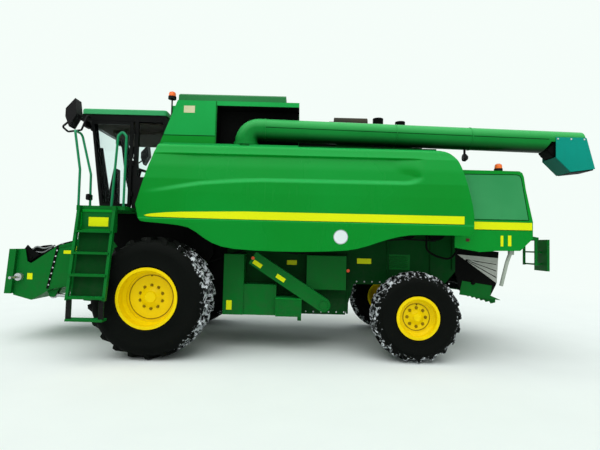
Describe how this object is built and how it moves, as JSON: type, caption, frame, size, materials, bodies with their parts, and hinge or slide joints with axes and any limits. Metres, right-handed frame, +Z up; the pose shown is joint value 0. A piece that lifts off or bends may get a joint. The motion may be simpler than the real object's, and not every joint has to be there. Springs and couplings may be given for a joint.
{
  "type": "combine harvester",
  "caption": "Self-propelled grain harvester with cab, grain tank, swinging unloading auger, lifting feeder house, steered rear wheels and hinged side shields.",
  "frame": {"origin": "on the ground, below the middle of the whole machine", "axes": "+X forwards, +Y to the machine's left, +Z up"},
  "size_m": [9.215, 3.8218, 4.02],
  "materials": {
    "green_paint": "gloss",
    "yellow_paint": "gloss",
    "dark_frame": "satin",
    "zinc_sheet": "satin",
    "dark_iron": "matte",
    "bright_steel": "polished",
    "tyre": "matte",
    "teal_rubber": "satin",
    "window_glass": "clear",
    "seat_cloth": "matte",
    "dark_plastic": "matte",
    "amber_lens": "clear"
  },
  "bodies": {
    "chassis": {"threshing_body": "green_paint", "front_axle": "green_paint", "rear_axle": "green_paint", "cab_frame": "dark_frame", "cab_roof": "green_paint", "cab_glass": "window_glass", "operator_seat": "seat_cloth", "cab_controls": "dark_plastic", "platform": "green_paint", "handrails": "green_paint", "mirrors": "dark_plastic", "grain_tank": "green_paint", "tank_augers": "zinc_sheet", "auger_turret": "green_paint", "engine_deck": "green_paint", "engine_block": "dark_iron", "exhaust": "dark_iron", "rear_hood": "green_paint", "chopper_housing": "dark_frame", "chopper_sides": "zinc_sheet", "tailboard": "zinc_sheet", "belt_drives": "dark_iron", "lower_guards": "green_paint", "drive_shield": "green_paint", "grain_elevator": "green_paint", "rear_ladder": "green_paint", "tow_hitch": "green_paint", "lamps": "amber_lens"},
    "feeder": {"feeder_house": "green_paint", "feeder_conveyor": "dark_iron", "header_drive": "bright_steel"},
    "front_wheel_left": {"front_rim_left": "yellow_paint", "front_tyre_left": "tyre"},
    "front_wheel_right": {"front_rim_right": "yellow_paint", "front_tyre_right": "tyre"},
    "rear_wheel_left": {"rear_rim_left": "yellow_paint", "rear_tyre_left": "tyre"},
    "rear_wheel_right": {"rear_rim_right": "yellow_paint", "rear_tyre_right": "tyre"},
    "knuckle_left": {"knuckle_left": "green_paint"},
    "knuckle_right": {"knuckle_right": "green_paint"},
    "tie_rod": {"tie_rod": "dark_frame"},
    "lift_barrel_left": {"lift_barrel_left": "green_paint"},
    "lift_barrel_right": {"lift_barrel_right": "green_paint"},
    "lift_rod_left": {"lift_rod_left": "bright_steel"},
    "lift_rod_right": {"lift_rod_right": "bright_steel"},
    "unloading_auger": {"unloading_auger": "green_paint", "spout_boot": "teal_rubber"},
    "shield_left": {"shield_left": "green_paint"},
    "shield_right": {"shield_right": "green_paint"},
    "cab_door": {"cab_door": "dark_frame", "door_glass": "window_glass"},
    "tank_cover_left": {"tank_cover_left": "green_paint"},
    "tank_cover_right": {"tank_cover_right": "green_paint"},
    "ladder": {"ladder": "green_paint"},
    "rotary_screen": {"rotary_screen": "zinc_sheet"},
    "chopper_rotor": {"chopper_rotor": "dark_iron"}
  },
  "joints": [
    {"name": "front_wheel_left_spin", "type": "hinge", "parent": "chassis", "child": "front_wheel_left", "pos_m": [1.96, 1.35, 0.87], "axis": [0, 1, 0], "continuous": true},
    {"name": "front_wheel_right_spin", "type": "hinge", "parent": "chassis", "child": "front_wheel_right", "pos_m": [1.96, -1.35, 0.87], "axis": [0, 1, 0], "continuous": true},
    {"name": "steer_left", "type": "hinge", "parent": "chassis", "child": "knuckle_left", "pos_m": [-1.89, 0.95, 0.66], "axis": [0, 0, 1], "range_deg": [-30, 30]},
    {"name": "steer_right", "type": "hinge", "parent": "chassis", "child": "knuckle_right", "pos_m": [-1.89, -0.95, 0.66], "axis": [0, 0, 1], "range_deg": [-30, 30]},
    {"name": "tie_rod_shift", "type": "slide", "parent": "chassis", "child": "tie_rod", "axis": [0, 1, 0], "range_m": [-0.116, 0.116]},
    {"name": "rear_wheel_left_spin", "type": "hinge", "parent": "knuckle_left", "child": "rear_wheel_left", "pos_m": [-1.89, 1.27, 0.66], "axis": [0, 1, 0], "continuous": true},
    {"name": "rear_wheel_right_spin", "type": "hinge", "parent": "knuckle_right", "child": "rear_wheel_right", "pos_m": [-1.89, -1.27, 0.66], "axis": [0, 1, 0], "continuous": true},
    {"name": "feeder_lift", "type": "hinge", "parent": "chassis", "child": "feeder", "pos_m": [2.6, 0, 1.72], "axis": [0, -1, 0], "range_deg": [-8, 24]},
    {"name": "lift_barrel_left_swing", "type": "hinge", "parent": "chassis", "child": "lift_barrel_left", "pos_m": [2.15, 0.56, 0.64], "axis": [0, -1, 0], "range_deg": [-5.5, 16.3]},
    {"name": "lift_rod_left_stroke", "type": "slide", "parent": "lift_barrel_left", "child": "lift_rod_left", "axis": [0.9982, 0, 0.0599], "range_m": [-0.14, 0.418]},
    {"name": "lift_barrel_right_swing", "type": "hinge", "parent": "chassis", "child": "lift_barrel_right", "pos_m": [2.15, -0.56, 0.64], "axis": [0, -1, 0], "range_deg": [-5.5, 16.3]},
    {"name": "lift_rod_right_stroke", "type": "slide", "parent": "lift_barrel_right", "child": "lift_rod_right", "axis": [0.9982, 0, 0.0599], "range_m": [-0.14, 0.418]},
    {"name": "auger_swing", "type": "hinge", "parent": "chassis", "child": "unloading_auger", "pos_m": [0.715, 1.112, 3.206], "axis": [0, 0, 1], "range_deg": [-95, 0]},
    {"name": "shield_left_hinge", "type": "hinge", "parent": "chassis", "child": "shield_left", "pos_m": [0, 1.305, 3.14], "axis": [1, 0, 0], "range_deg": [0, 60]},
    {"name": "shield_right_hinge", "type": "hinge", "parent": "chassis", "child": "shield_right", "pos_m": [0, -1.305, 3.14], "axis": [-1, 0, 0], "range_deg": [0, 60]},
    {"name": "cab_door_hinge", "type": "hinge", "parent": "chassis", "child": "cab_door", "pos_m": [2.557, 0.87, 2.9], "axis": [0, 0, 1], "range_deg": [0, 80]},
    {"name": "tank_cover_left_hinge", "type": "hinge", "parent": "chassis", "child": "tank_cover_left", "pos_m": [1, 1.186, 3.866], "axis": [-1, 0, 0], "range_deg": [0, 100]},
    {"name": "tank_cover_right_hinge", "type": "hinge", "parent": "chassis", "child": "tank_cover_right", "pos_m": [1, -1.186, 3.866], "axis": [1, 0, 0], "range_deg": [0, 100]},
    {"name": "ladder_swing", "type": "hinge", "parent": "chassis", "child": "ladder", "pos_m": [2.955, 1.683, 1.4], "axis": [0, 0, 1], "range_deg": [-90, 0]},
    {"name": "rotary_screen_spin", "type": "hinge", "parent": "chassis", "child": "rotary_screen", "pos_m": [-1.6, -1.17, 2.64], "axis": [0, 1, 0], "continuous": true},
    {"name": "chopper_spin", "type": "hinge", "parent": "chassis", "child": "chopper_rotor", "pos_m": [-2.99, 0, 1.13], "axis": [0, 1, 0], "continuous": true}
  ],
  "couplings": [
    {"joint": "steer_right", "follows": "steer_left", "ratio": 1},
    {"joint": "tie_rod_shift", "follows": "steer_left", "m_per_rad": -0.22},
    {"joint": "lift_barrel_left_swing", "follows": "feeder_lift", "ratio": 0.676},
    {"joint": "lift_rod_left_stroke", "follows": "feeder_lift", "m_per_rad": 0.996},
    {"joint": "lift_barrel_right_swing", "follows": "feeder_lift", "ratio": 0.676},
    {"joint": "lift_rod_right_stroke", "follows": "feeder_lift", "m_per_rad": 0.996}
  ]
}
